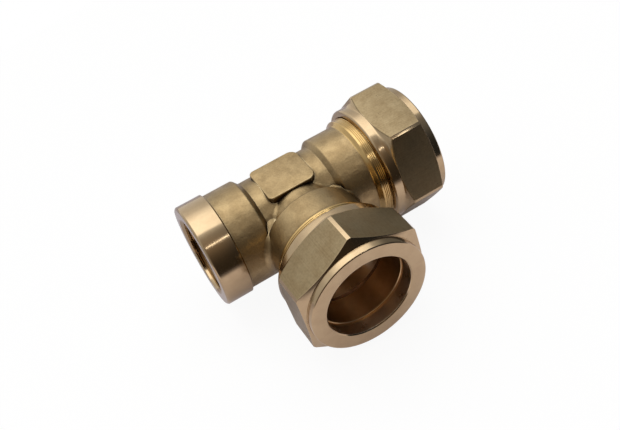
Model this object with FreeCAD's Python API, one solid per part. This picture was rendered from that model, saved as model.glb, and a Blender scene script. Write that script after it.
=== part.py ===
import FreeCAD, Part
import math
import os

# Compression tee for 22 mm pipe with a G1/2 female end.
#
# The run lies along X: the threaded end faces -X and a compression end faces +X.
# The branch is a second compression end and faces -Y. Z is up, across the two
# spanner pads. The origin is where the three port axes meet. Millimetres.
#
# Every turned or forged outline is a list of corners (along the port axis from
# the origin, radius, rounding of the corner) that is revolved about that axis.

X_AXIS = FreeCAD.Vector(1, 0, 0)
Z_AXIS = FreeCAD.Vector(0, 0, 1)
ORIGIN = FreeCAD.Vector(0, 0, 0)
FULL_TURN = 360.0
HALF_TURN = 180.0               # turns a +X port about Z until it faces -X
BRANCH_TURN = -90.0             # turns a +X port about Z until it faces -Y
HEXAGON_SIDES = 6

# --- pipe and the clearances round it ---
pipe_radius = 11.0
olive_pipe_clearance = 0.03     # the olive is the closest fit on the pipe
socket_pipe_clearance = 0.10
nut_pipe_clearance = 0.15

# --- female thread, G1/2 ---
port_thread_radius = 10.48
port_thread_depth = 1.16
port_thread_length = 14.5
port_mouth_clearance = 0.07     # the countersink is this much wider than the thread
port_drill_angle = 59.0         # half angle of the drill that leads to the waterway

# --- walls and lengths of the compression ends ---
waterway_step = 0.32            # the waterway is this much inside the thread's bore
run_neck_wall = 2.4             # waterway to the outside of the run's neck
branch_neck_wall = 1.9
barrel_wall = 1.8               # pipe socket to the outside of a barrel
barrel_overlap = 2.0            # each barrel starts this far inside its neighbour's outline
barrel_length = 7.4
shoulder_length = 1.2           # the shoulder slopes from the neck up to the barrel
shoulder_rounding = 0.7
thread_wall = 2.9               # pipe socket to the crest of the M28 x 1.5 thread
thread_length = 7.6
thread_shoulder_length = 0.9    # cone between the forged barrel and the thread
thread_end_chamfer = 0.9
pipe_socket_depth = 14.3        # body's end to the stop that the pipe stands on

# --- female end of the body ---
port_barrel_length = 8.0
collar_step_length = 0.35
collar_length = 7.05
collar_height = 0.65            # the turned collar stands this far over the barrel
collar_chamfer = 0.45

# --- spanner pads above and below the crossing ---
pad_length = 13.2
pad_width = 12.0
pad_rise = 0.1                  # the pads' faces stand this far over the run's neck
pad_corner_rounding = 1.5
pad_edge_rounding = 0.3

# --- rounded web in the crotch where two barrels meet ---
crotch_rounding = 1.7
crotch_end_rounding = 0.2
crotch_overlap = 1.0            # depth of the web inside the barrels
crotch_bite = 0.02              # the web's hollow face runs this far into them
crotch_sections = 5

# --- olive and its two cone seats ---
seat_half_angle = 30.0
seat_gap = 0.02
body_seat_width = 1.6           # radial width of the body's mouth cone
olive_wall = 1.52               # thickness at the crown
olive_end_wall = 0.47
olive_crown_length = 4.25       # plain stretch between the two tapers
olive_edge_chamfer = 0.15

# --- compression nut ---
nut_flat_wall = 1.7             # thread bore to the middle of a flat
nut_corner_relief = 0.27        # turned off the hexagon's corners
nut_gap = 2.4                   # thread left bare behind a hand-tight nut
nut_shoulder_length = 2.6
nut_shoulder_relief = 0.05      # the shoulder is turned just inside the flats
nut_shoulder_chamfer = 0.26
nut_rear_chamfer_length = 1.25
nut_front_chamfer_length = 1.0
nut_front_chamfer_relief = 0.3  # the front chamfer ends this far inside the flats
nut_ring_length = 1.95
nut_ring_relief = 0.55          # the ring in front is this far inside the flats
nut_ring_chamfer = 0.3
nut_land_length = 3.5           # plain pipe hole at the nut's front
nut_mouth_chamfer = 0.3
nut_thread_clearance = 0.05
nut_thread_mouth_width = 0.75   # radial width of the chamfer that leads to the thread
nut_olive_clearance = 0.2
nut_chamber_length = 0.25       # plain stretch behind the nut's seat cone
run_nut_turn = 5.9              # hexagon's turn about the run, degrees
branch_nut_turn = -27.8         # hexagon's turn about the branch, degrees

# --- radii worked out from the sizes above ---
port_bore_radius = port_thread_radius - port_thread_depth
port_mouth_radius = port_thread_radius + port_mouth_clearance
waterway_radius = port_bore_radius - waterway_step
run_neck_radius = waterway_radius + run_neck_wall
branch_neck_radius = waterway_radius + branch_neck_wall
socket_radius = pipe_radius + socket_pipe_clearance
body_seat_radius = socket_radius + body_seat_width
barrel_radius = socket_radius + barrel_wall
thread_radius = socket_radius + thread_wall
collar_radius = barrel_radius + collar_height
olive_bore_radius = pipe_radius + olive_pipe_clearance
olive_end_radius = olive_bore_radius + olive_end_wall
olive_radius = olive_bore_radius + olive_wall
nut_pipe_radius = pipe_radius + nut_pipe_clearance
nut_chamber_radius = olive_radius + nut_olive_clearance
nut_bore_radius = thread_radius + nut_thread_clearance
nut_flat_radius = nut_bore_radius + nut_flat_wall
nut_shoulder_radius = nut_flat_radius - nut_shoulder_relief
nut_ring_radius = nut_flat_radius - nut_ring_relief

# --- places along a port's axis, outwards from the origin ---
barrel_start = barrel_radius - barrel_overlap
neck_end = barrel_start - shoulder_length
thread_shoulder_start = barrel_start + barrel_length
thread_start = thread_shoulder_start + thread_shoulder_length
body_end = thread_start + thread_length
pipe_stop = body_end - pipe_socket_depth
port_barrel_end = barrel_start + port_barrel_length
collar_start = port_barrel_end + collar_step_length
port_end = collar_start + collar_length
seat_slope = math.tan(math.radians(seat_half_angle))
seat_gap_along = seat_gap / math.sin(math.radians(seat_half_angle))
body_seat_foot = body_end - body_seat_width / seat_slope
olive_taper_length = (olive_radius - olive_end_radius) / seat_slope
olive_rear = body_seat_foot + (olive_end_radius - socket_radius) / seat_slope + seat_gap_along
olive_front = olive_rear + 2 * olive_taper_length + olive_crown_length
nut_seat_foot = olive_front + (olive_end_radius - nut_pipe_radius) / seat_slope + seat_gap_along
nut_seat_start = nut_seat_foot - (nut_chamber_radius - nut_pipe_radius) / seat_slope
nut_front = nut_seat_foot + nut_land_length
nut_ring_start = nut_front - nut_ring_length
nut_rear = thread_start + nut_gap
nut_hex_start = nut_rear + nut_shoulder_length


def rounded_outline(corners):
    """Closed wire in the XZ plane through (along, radius, rounding) corners."""
    count = len(corners)
    spots = [FreeCAD.Vector(along, 0, radius) for along, radius, _ in corners]
    edges = []
    leave_points = []
    enter_points = []
    arcs = []
    for index, (_, _, rounding) in enumerate(corners):
        here = spots[index]
        to_last = (spots[index - 1] - here).normalize()
        to_next = (spots[(index + 1) % count] - here).normalize()
        if rounding == 0:
            enter_points.append(here)
            leave_points.append(here)
            arcs.append(None)
            continue
        half_angle = to_last.getAngle(to_next) / 2
        setback = rounding / math.tan(half_angle)
        middle_way = (to_last + to_next).normalize()
        centre = here + middle_way * (rounding / math.sin(half_angle))
        start = here + to_last * setback
        end = here + to_next * setback
        enter_points.append(start)
        leave_points.append(end)
        arcs.append(Part.Arc(start, centre - middle_way * rounding, end).toShape())
    for index in range(count):
        if arcs[index] is not None:
            edges.append(arcs[index])
        start = leave_points[index]
        end = enter_points[(index + 1) % count]
        edges.append(Part.LineSegment(start, end).toShape())
    return Part.Wire(edges)


def revolved(corners):
    """Solid of revolution about X from (along, radius, rounding) corners."""
    face = Part.Face(rounded_outline(corners))
    return face.revolve(ORIGIN, X_AXIS, FULL_TURN)


def facing_branch(shape):
    """Copy of a +X shape, turned to face -Y."""
    turned = shape.copy()
    turned.rotate(ORIGIN, Z_AXIS, BRANCH_TURN)
    return turned


def facing_port(shape):
    """Copy of a +X shape, turned to face -X."""
    turned = shape.copy()
    turned.rotate(ORIGIN, Z_AXIS, HALF_TURN)
    return turned


def compression_end_outside(neck_radius):
    """Neck, shoulder, forged barrel and thread of one compression end."""
    return revolved([
        (0, 0, 0),
        (0, neck_radius, 0),
        (neck_end, neck_radius, shoulder_rounding),
        (barrel_start, barrel_radius, shoulder_rounding),
        (thread_shoulder_start, barrel_radius, 0),
        (thread_start, thread_radius, 0),
        (body_end - thread_end_chamfer, thread_radius, 0),
        (body_end, thread_radius - thread_end_chamfer, 0),
        (body_end, 0, 0),
    ])


def compression_end_inside():
    """Waterway, pipe socket and mouth cone, to be cut from the body."""
    return revolved([
        (0, 0, 0),
        (0, waterway_radius, 0),
        (pipe_stop, waterway_radius, 0),
        (pipe_stop, socket_radius, 0),
        (body_seat_foot, socket_radius, 0),
        (body_end, body_seat_radius, 0),
        (body_end, 0, 0),
    ])


def female_end_outside():
    """Neck, shoulder, barrel and turned collar of the threaded end."""
    return revolved([
        (0, 0, 0),
        (0, run_neck_radius, 0),
        (neck_end, run_neck_radius, shoulder_rounding),
        (barrel_start, barrel_radius, shoulder_rounding),
        (port_barrel_end, barrel_radius, 0),
        (collar_start, collar_radius, 0),
        (port_end - collar_chamfer, collar_radius, 0),
        (port_end, collar_radius - collar_chamfer, 0),
        (port_end, 0, 0),
    ])


def female_end_inside():
    """Waterway, drill cone, thread bore and countersink of the threaded end."""
    bore_foot = port_end - port_thread_length
    cone_length = waterway_step / math.tan(math.radians(port_drill_angle))
    countersink = port_mouth_radius - port_bore_radius
    return revolved([
        (0, 0, 0),
        (0, waterway_radius, 0),
        (bore_foot - cone_length, waterway_radius, 0),
        (bore_foot, port_bore_radius, 0),
        (port_end - countersink, port_bore_radius, 0),
        (port_end, port_mouth_radius, 0),
        (port_end, 0, 0),
    ])


def spanner_pads():
    """Block through the crossing whose top and bottom faces take a spanner."""
    pad_height = run_neck_radius + pad_rise
    corner = FreeCAD.Vector(-pad_length / 2, -pad_width / 2, -pad_height)
    block = Part.makeBox(pad_length, pad_width, 2 * pad_height, corner)
    uprights = [edge for edge in block.Edges if edge.BoundBox.ZLength > pad_height]
    block = block.makeFillet(pad_corner_rounding, uprights)
    rims = [edge for edge in block.Edges if edge.BoundBox.ZLength < pad_height]
    return block.makeFillet(pad_edge_rounding, rims)


def crotch_section(height, rounding):
    """Outline of the crotch web at one height, in the corner of +X and -Y."""
    reach = math.sqrt(barrel_radius ** 2 - height ** 2)
    outer = reach + rounding
    inner = reach - crotch_overlap
    hollow_radius = rounding + crotch_bite
    axis = FreeCAD.Vector(outer, -outer, height)
    run_side = axis + FreeCAD.Vector(0, hollow_radius, 0)
    middle = axis + FreeCAD.Vector(-1, 1, 0).normalize() * hollow_radius
    branch_side = axis + FreeCAD.Vector(-hollow_radius, 0, 0)
    run_corner = FreeCAD.Vector(outer, -inner, height)
    inner_corner = FreeCAD.Vector(inner, -inner, height)
    branch_corner = FreeCAD.Vector(inner, -outer, height)
    return Part.Wire([
        Part.LineSegment(run_corner, run_side).toShape(),
        Part.Arc(run_side, middle, branch_side).toShape(),
        Part.LineSegment(branch_side, branch_corner).toShape(),
        Part.LineSegment(branch_corner, inner_corner).toShape(),
        Part.LineSegment(inner_corner, run_corner).toShape(),
    ])


def crotch_web():
    """Rounded web between the +X barrel and the branch barrel, thinner at its ends."""
    reach_at_top = barrel_start + shoulder_rounding / 2
    top = math.sqrt(barrel_radius ** 2 - reach_at_top ** 2)
    sections = []
    for index in range(crotch_sections):
        share = 2 * index / (crotch_sections - 1) - 1
        rounding = crotch_end_rounding + crotch_rounding * math.sqrt(1 - share ** 2)
        sections.append(crotch_section(top * share, rounding))
    return Part.makeLoft(sections, True)


def tee_body():
    """One-piece body with its three hollow ends."""
    outside = compression_end_outside(run_neck_radius)
    outside = outside.fuse(facing_port(female_end_outside()))
    outside = outside.fuse(facing_branch(compression_end_outside(branch_neck_radius)))
    web = crotch_web()
    outside = outside.fuse(web)
    outside = outside.fuse(web.mirror(ORIGIN, X_AXIS))
    outside = outside.fuse(spanner_pads())
    inside = compression_end_inside()
    inside = inside.fuse(facing_port(female_end_inside()))
    inside = inside.fuse(facing_branch(compression_end_inside()))
    return outside.cut(inside).removeSplitter()


def olive():
    """Brass ring that the nut presses on the pipe; it seats in two cones."""
    return revolved([
        (olive_rear, olive_bore_radius + olive_edge_chamfer, 0),
        (olive_rear, olive_end_radius, 0),
        (olive_rear + olive_taper_length, olive_radius, 0),
        (olive_front - olive_taper_length, olive_radius, 0),
        (olive_front, olive_end_radius, 0),
        (olive_front, olive_bore_radius + olive_edge_chamfer, 0),
        (olive_front - olive_edge_chamfer, olive_bore_radius, 0),
        (olive_rear + olive_edge_chamfer, olive_bore_radius, 0),
    ])


def hexagon_corner_radius():
    """Distance from the nut's axis to a sharp corner of its hexagon."""
    return nut_flat_radius / math.cos(math.pi / HEXAGON_SIDES)


def hexagon_prism(turn):
    """Hexagonal prism over the whole nut, a flat upwards, turned about X."""
    corners = []
    for index in range(HEXAGON_SIDES + 1):
        angle = math.radians(FULL_TURN / HEXAGON_SIDES * (index + 0.5) + turn)
        across = -hexagon_corner_radius() * math.sin(angle)
        height = hexagon_corner_radius() * math.cos(angle)
        corners.append(FreeCAD.Vector(nut_rear, across, height))
    face = Part.Face(Part.makePolygon(corners))
    return face.extrude(X_AXIS * (nut_front - nut_rear))


def nut_outside():
    """Turned outline of the nut, before the hexagon is cut on it."""
    corner_radius = hexagon_corner_radius() - nut_corner_relief
    chamfer_foot_radius = nut_flat_radius - nut_front_chamfer_relief
    return revolved([
        (nut_rear, 0, 0),
        (nut_rear, nut_shoulder_radius - nut_shoulder_chamfer, 0),
        (nut_rear + nut_shoulder_chamfer, nut_shoulder_radius, 0),
        (nut_hex_start, nut_shoulder_radius, 0),
        (nut_hex_start + nut_rear_chamfer_length, corner_radius, 0),
        (nut_ring_start - nut_front_chamfer_length, corner_radius, 0),
        (nut_ring_start, chamfer_foot_radius, 0),
        (nut_ring_start, nut_ring_radius, 0),
        (nut_front - nut_ring_chamfer, nut_ring_radius, 0),
        (nut_front, nut_ring_radius - nut_ring_chamfer, 0),
        (nut_front, 0, 0),
    ])


def nut_inside():
    """Thread bore, olive chamber, seat cone and pipe hole of the nut."""
    chamber_start = nut_seat_start - nut_chamber_length
    bore_end = chamber_start - (nut_bore_radius - nut_chamber_radius)
    return revolved([
        (nut_rear, 0, 0),
        (nut_rear, nut_bore_radius + nut_thread_mouth_width, 0),
        (nut_rear + nut_thread_mouth_width, nut_bore_radius, 0),
        (bore_end, nut_bore_radius, 0),
        (chamber_start, nut_chamber_radius, 0),
        (nut_seat_start, nut_chamber_radius, 0),
        (nut_seat_foot, nut_pipe_radius, 0),
        (nut_front - nut_mouth_chamfer, nut_pipe_radius, 0),
        (nut_front, nut_pipe_radius + nut_mouth_chamfer, 0),
        (nut_front, 0, 0),
    ])


def compression_nut(turn):
    """Hexagon nut with a turned shoulder behind and a ring in front."""
    return nut_outside().common(hexagon_prism(turn)).cut(nut_inside())


def build():
    """Make every piece, check it and write its STEP file."""
    pieces = {
        "tee_body": tee_body(),
        "run_olive": olive(),
        "run_nut": compression_nut(run_nut_turn),
        "branch_olive": facing_branch(olive()),
        "branch_nut": facing_branch(compression_nut(branch_nut_turn)),
    }
    os.makedirs("parts", exist_ok=True)
    for name, shape in pieces.items():
        if not shape.isValid() or len(shape.Solids) != 1:
            raise RuntimeError(f"{name} is not one valid solid")
        shape.exportStep(f"parts/{name}.step")
        box = shape.BoundBox
        extent = f"{box.XLength:.2f} x {box.YLength:.2f} x {box.ZLength:.2f} mm"
        print(f"{name}: {shape.Volume:.1f} mm3, {extent}")


build()
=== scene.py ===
"""Looks of a brass compression tee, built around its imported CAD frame.

The tee has three ports on two axes. The run lies along X, with a female thread
at -X and a compression end at +X. The branch is a second compression end at -Y.
Sizes are in millimetres and become metres when a mesh is made.
"""
import logging
import math
from dataclasses import dataclass, field
from enum import Enum

import bpy
import numpy as np
from mathutils import Matrix, Vector


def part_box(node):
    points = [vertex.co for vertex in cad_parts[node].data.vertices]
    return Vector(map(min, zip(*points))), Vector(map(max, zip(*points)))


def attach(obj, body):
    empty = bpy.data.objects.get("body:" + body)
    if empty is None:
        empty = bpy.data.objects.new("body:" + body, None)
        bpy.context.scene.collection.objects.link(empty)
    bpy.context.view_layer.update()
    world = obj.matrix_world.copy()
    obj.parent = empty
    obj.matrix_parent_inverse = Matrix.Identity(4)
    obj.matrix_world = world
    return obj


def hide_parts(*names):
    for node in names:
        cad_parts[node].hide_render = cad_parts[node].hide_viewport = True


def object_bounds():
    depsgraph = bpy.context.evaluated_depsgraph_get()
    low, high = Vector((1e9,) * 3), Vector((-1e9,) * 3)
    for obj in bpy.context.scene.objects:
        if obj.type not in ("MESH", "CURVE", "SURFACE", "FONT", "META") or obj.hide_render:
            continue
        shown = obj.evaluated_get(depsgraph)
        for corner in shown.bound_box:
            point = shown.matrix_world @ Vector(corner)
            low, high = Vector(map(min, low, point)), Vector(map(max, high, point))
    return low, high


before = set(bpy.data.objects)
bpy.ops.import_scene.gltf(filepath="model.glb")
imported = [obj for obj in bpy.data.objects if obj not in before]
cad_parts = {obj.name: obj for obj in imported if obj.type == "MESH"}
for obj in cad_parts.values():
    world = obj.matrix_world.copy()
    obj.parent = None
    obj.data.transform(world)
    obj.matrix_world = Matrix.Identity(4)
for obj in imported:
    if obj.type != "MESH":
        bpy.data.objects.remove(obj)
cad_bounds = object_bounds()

MM = 0.001
FULL_TURN = 2.0 * math.pi
QUARTER = math.pi / 2
SIXTH = FULL_TURN / 6
SHARP_ANGLE = math.radians(26.0)
WELD_DIGITS = 6                     # decimals of a millimetre at which points are one
NUDGE = 1e-6                        # radians that put an angle clear of a quarter's edge
NO_RADIUS = 1e-9                    # metres, the least radius that something is divided by
HAIR = 1e-7                         # metres that a tool is moved before it is tried again
JOIN_ATTEMPTS = 4
JOIN_MARGIN = 0.001                 # share by which a joined volume may be off
ARC_STEPS = 5
SIDE_SHARE = 0.45                   # most of a side that a rounding may take
SPARE_TURNS = 3                     # turns of a helix worked out past each end of a thread
FLAT_STEP = 0.1                     # metres that set the lines of one flat off the next
SEAT_SLOPE = math.tan(math.radians(30.0))   # of the cones of an olive and its seats
PITCH_M28 = 1.5
PITCH_G12 = 1.814
WHITE = (1.0, 1.0, 1.0, 1.0)
FACTOR, UNDER, OVER = 0, 6, 7       # inputs of a Mix node that mixes colours

log = logging.getLogger("tee")


# ---------------------------------------------------------------- geometry

class Port(Enum):
    """Which way a port that was made along +X ends up facing."""

    RUN = 0.0
    BRANCH = -90.0
    THREADED = 180.0

    def turn(self, points: np.ndarray) -> np.ndarray:
        """Turn points about Z from +X to this port's direction.

        Args:
            points: Array whose last axis holds x, y and z.

        Returns:
            The turned points, in an array of the same shape.
        """
        angle = math.radians(self.value)
        cosine, sine = round(math.cos(angle)), round(math.sin(angle))
        x, y, z = points[..., 0], points[..., 1], points[..., 2]
        return np.stack([cosine * x - sine * y, sine * x + cosine * y, z], axis=-1)


class Finish(Enum):
    """How a stretch of surface was made; its value is the material slot."""

    FORGED = 0
    TURNED = 1
    FLAT = 2
    BORE = 3
    THREAD = 4
    OLIVE = 5
    SEAT = 6


class ToolPath(Enum):
    """Which way a tool went; the value is the attribute that counts its lines."""

    ROUND = "lathe"
    ALONG = "drawn"


class Join(Enum):
    """What is done with a tool; the value is the Boolean modifier's own word."""

    ADD = "UNION"
    CUT = "DIFFERENCE"


@dataclass(frozen=True)
class Corner:
    """One corner of a turned outline, or one row of a surface, in millimetres.

    Its place and radius are one value, or one value per column.
    """

    along: float | np.ndarray
    radius: float | np.ndarray
    rounding: float = 0.0
    finish: Finish = Finish.TURNED  # finish of the stretch that leaves this corner


def rounded(outline: list[Corner]) -> list[Corner]:
    """Round the corners of an open outline.

    The arc starts and ends at the setback from the corner, which is the
    rounding over the tangent of half the angle between the sides, and at most
    a given share of a side. In between, it is the quadratic blend of start,
    corner and end in which the corner weighs the sine of that half angle: a
    true arc.

    Args:
        outline: The outline's corners in order.

    Returns:
        One row for each plain corner and several for each arc.
    """
    rows = [outline[0]]
    for before, corner, after in zip(outline, outline[1:], outline[2:]):
        if not corner.rounding:
            rows.append(corner)
            continue
        sides = np.stack(np.broadcast_arrays(
            before.along - corner.along, before.radius - corner.radius,
            after.along - corner.along, after.radius - corner.radius))
        back, ahead = sides[:2], sides[2:]
        back_length, ahead_length = np.hypot(*back), np.hypot(*ahead)
        back, ahead = back / back_length, ahead / ahead_length
        half_angle = np.arccos(np.clip(np.sum(back * ahead, axis=0), -1.0, 1.0)) / 2
        setback = np.minimum(corner.rounding / np.tan(half_angle),
                             SIDE_SHARE * np.minimum(back_length, ahead_length))
        weight = np.sin(half_angle)
        for share in np.linspace(0.0, 1.0, ARC_STEPS):
            first, middle, final = (1 - share) ** 2, 2 * share * (1 - share) * weight, share ** 2
            offset = setback * (first * back + final * ahead) / (first + middle + final)
            rows.append(Corner(corner.along + offset[0], corner.radius + offset[1],
                               finish=corner.finish))
    return [*rows, outline[-1]]


@dataclass(frozen=True)
class Cone:
    """Chamfer that trims a thread, in millimetres."""

    keep: np.ufunc                  # np.minimum outside, or np.maximum in a bore
    along: float
    radius: float                   # its radius at that place
    slope: float                    # how fast that grows along the axis

    def trim(self, along: np.ndarray, radius: np.ndarray) -> np.ndarray:
        """Radius that the chamfer leaves of a surface at each place."""
        return self.keep(radius, self.radius + self.slope * (along - self.along))


@dataclass(frozen=True)
class Thread:
    """A screw thread about a port's axis, in millimetres."""

    pitch: float
    outer: float                    # radius of the crests outside, or the groove of a nut
    inner: float
    outer_flat: float               # length along the axis of the flat at the outer radius
    inner_flat: float
    origin: float                   # an outer flat's middle, straight above the axis
    finish: Finish = Finish.TURNED

    def shares(self) -> np.ndarray:
        """The outline's four corners, as shares of one pitch."""
        outer_half, inner_half = self.outer_flat / 2 / self.pitch, self.inner_flat / 2 / self.pitch
        return np.array([-outer_half, outer_half, 0.5 - inner_half, 0.5 + inner_half])

    def radius_at(self, along: np.ndarray, angles: np.ndarray) -> np.ndarray:
        """Radius of the screw surface.

        The share of a pitch is the distance along the axis less the angle's
        share of a turn, and the radius goes straight between the corners.

        Args:
            along: Places along the axis.
            angles: Angles about the axis, from straight up.

        Returns:
            One radius for each place.
        """
        share = (along - self.origin) / self.pitch - angles / FULL_TURN
        radii = np.array([self.outer, self.outer, self.inner, self.inner])
        return np.interp(share, self.shares(), radii, period=1.0)

    def rows(self, start: float, end: float, angles: np.ndarray, plain: float,
             fades: tuple[float, float], chamfer: Cone) -> list[Corner]:
        """Rows that follow the helix between two places.

        Each row is a corner of the outline carried along the helix: the row's
        share of a pitch plus the angle's share of a turn, times the pitch. It
        stops at both ends, where the screw surface fades into a plain radius by a
        smooth cubic: three times the square of the share of the fade, less twice
        its cube.

        Args:
            start: Where the thread starts.
            end: Where it ends; may be less than start.
            angles: The columns' angles.
            plain: Radius into which the thread fades.
            fades: Length of the fade at the start and at the end.
            chamfer: What trims it.

        Returns:
            The rows from start to end.
        """
        low, high = min(start, end), max(start, end)
        turns = np.arange(math.floor((low - self.origin) / self.pitch) - SPARE_TURNS,
                          math.ceil((high - self.origin) / self.pitch) + SPARE_TURNS)
        shares = (turns[:, None] + self.shares()[None, :]).ravel()
        rows = []
        for share in shares if start < end else shares[::-1]:
            along = np.clip(self.origin + self.pitch * (share + angles / FULL_TURN), low, high)
            depth = self.radius_at(along, angles) - plain
            for place, fade in zip((start, end), fades):
                if fade:
                    past = np.clip(np.abs(along - place) / fade, 0.0, 1.0)
                    depth = depth * (past * past * (3.0 - 2.0 * past))
            rows.append(Corner(along, chamfer.trim(along, plain + depth), finish=self.finish))
        return rows


def read_triples(items: bpy.types.bpy_prop_collection, name: str,
                 kind: type = float) -> np.ndarray:
    """Read a property of three values from every item of a mesh.

    Args:
        items: The mesh's vertices, triangles or faces.
        name: The property.
        kind: The type of its values.

    Returns:
        One row of three values for each item.
    """
    values = np.empty(len(items) * 3, kind)
    items.foreach_get(name, values)
    return values.reshape(-1, 3)


def weld(points: np.ndarray, quads: np.ndarray, slots: np.ndarray
         ) -> tuple[np.ndarray, list[list[int]], np.ndarray]:
    """Make points that share a place one point, and drop what collapses.

    Args:
        points: All points, one row each, in millimetres.
        quads: Four point numbers for each face.
        slots: The material slot of each face.

    Returns:
        The points that are left, the faces of three or four corners, and
        the slots of those faces.
    """
    kept, place = np.unique(np.round(points, WELD_DIGITS), axis=0, return_inverse=True)
    faces = place.reshape(-1)[quads]
    same_as_next = faces == np.roll(faces, -1, axis=1)
    crossed = (faces[:, :2] == faces[:, 2:]).any(axis=1)
    fourfold = ~same_as_next.any(axis=1) & ~crossed
    threefold = same_as_next.sum(axis=1) == 1
    triangles = faces[threefold][~same_as_next[threefold]].reshape(-1, 3)
    return (kept, faces[fourfold].tolist() + triangles.tolist(),
            np.concatenate([slots[fourfold], slots[threefold]]))


def triple_products(a: np.ndarray, b: np.ndarray, c: np.ndarray) -> float:
    """Six times the volume from the origin to some triangles, negative if they face it."""
    return float(np.sum(a * np.cross(b, c)))


def add_object(name: str, data: bpy.types.ID, place: Matrix | None = None) -> bpy.types.Object:
    """Add an object to the scene.

    Args:
        name: The object's name.
        data: Its mesh, lamp or camera.
        place: Its matrix, or none at the origin.

    Returns:
        The new object.
    """
    made = bpy.data.objects.new(name, data)
    if place is not None:
        made.matrix_world = place
    bpy.context.scene.collection.objects.link(made)
    return made


def make_object(name: str, grid: np.ndarray, slots: np.ndarray | None = None
                ) -> bpy.types.Object:
    """Make a mesh object at the origin from a grid of points that closes on itself.

    Each face is the quad between two neighbouring rows and two columns. Faces
    that enclose a negative volume point inwards and are turned round.

    Args:
        name: The piece's name.
        grid: Rows by columns by three, in millimetres.
        slots: The material slot of each face, in rows and columns, or none.

    Returns:
        The new object, with its faces pointing outwards.
    """
    rows, columns = grid.shape[:2]
    corner = (np.arange(rows - 1)[:, None] * columns + np.arange(columns - 1)).ravel()
    quads = np.stack([corner, corner + 1, corner + columns + 1, corner + columns], axis=1)
    points = grid.reshape(-1, 3)
    a, b, c, d = points[quads].transpose(1, 0, 2)
    if triple_products(a, b, c) + triple_products(a, c, d) < 0.0:
        quads = quads[:, ::-1]
    slots = np.zeros(len(quads), int) if slots is None else slots.ravel()
    kept, faces, kept_slots = weld(points, quads, slots)
    mesh = bpy.data.meshes.new(name)
    mesh.from_pydata((kept * MM).tolist(), [], faces)
    mesh.polygons.foreach_set("material_index", kept_slots.astype(np.int32))
    mesh.update()
    return add_object(name, mesh)


def round_angles(columns: int) -> np.ndarray:
    """Evenly spaced angles of a full turn, with the first one again at the end."""
    return np.linspace(0.0, FULL_TURN, columns + 1)


def turned_piece(name: str, rows: list[Corner], angles: np.ndarray, port: Port,
                 corners: np.ndarray | bool = False) -> bpy.types.Object:
    """Make an object of a closed turned surface that faces a port.

    About +X, x is the row's place along the axis, y is less its radius times
    the sine of the angle, and z its radius times the cosine.

    Args:
        name: The piece's name.
        rows: The surface's rows.
        angles: The columns' angles, from straight up towards -Y.
        port: The port that it faces.
        corners: Whether each column of faces is a hexagon's turned corner.

    Returns:
        The new object.
    """
    along, radius = np.stack([np.broadcast_arrays(row.along, row.radius, angles)[:2]
                              for row in rows], axis=1)
    slots = np.repeat([[row.finish.value] for row in rows[:-1]], len(angles) - 1, axis=1)
    slots[corners & (slots == Finish.FLAT.value)] = Finish.TURNED.value
    grid = np.stack([along, -radius * np.sin(angles), radius * np.cos(angles)], axis=-1)
    return make_object(name, port.turn(grid), slots)


def enclosed_volume(mesh: bpy.types.Mesh) -> float:
    """Volume of a closed mesh.

    Args:
        mesh: The mesh, whose triangles are worked out anew.

    Returns:
        Its volume in cubic metres.
    """
    mesh.calc_loop_triangles()
    corners = read_triples(mesh.loop_triangles, "vertices", np.int32)
    return triple_products(*read_triples(mesh.vertices, "co")[corners].transpose(1, 0, 2)) / 6


def boolean(piece: bpy.types.Object, tool: bpy.types.Object, join: Join) -> None:
    """Join a tool to a piece or cut it away, and remove the tool.

    The result has to hold at least the piece and at most both when they are
    joined, and at most the piece and at least the piece less the tool when it
    is cut. Where it doesn't, the tool is moved by a hair and tried again.

    Args:
        piece: The piece that is changed.
        tool: A closed mesh.
        join: What is done with the tool.
    """
    held, used = enclosed_volume(piece.data), enclosed_volume(tool.data)
    least, most = (held, held + used) if join is Join.ADD else (held - used, held)
    change = piece.modifiers.new(join.name, "BOOLEAN")
    change.operation = join.value
    change.solver = "EXACT"
    change.object = tool
    for attempt in range(JOIN_ATTEMPTS):
        tool.location = (attempt * HAIR, attempt * HAIR, attempt * HAIR)
        bpy.context.view_layer.update()
        changed = piece.evaluated_get(bpy.context.evaluated_depsgraph_get())
        mesh = bpy.data.meshes.new_from_object(changed)
        if least * (1 - JOIN_MARGIN) <= enclosed_volume(mesh) <= most * (1 + JOIN_MARGIN):
            break
        log.warning("%s of %s: attempt %d gave a wrong volume", join.name, tool.name, attempt)
    piece.modifiers.clear()
    piece.data = mesh
    bpy.data.objects.remove(tool)


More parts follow.
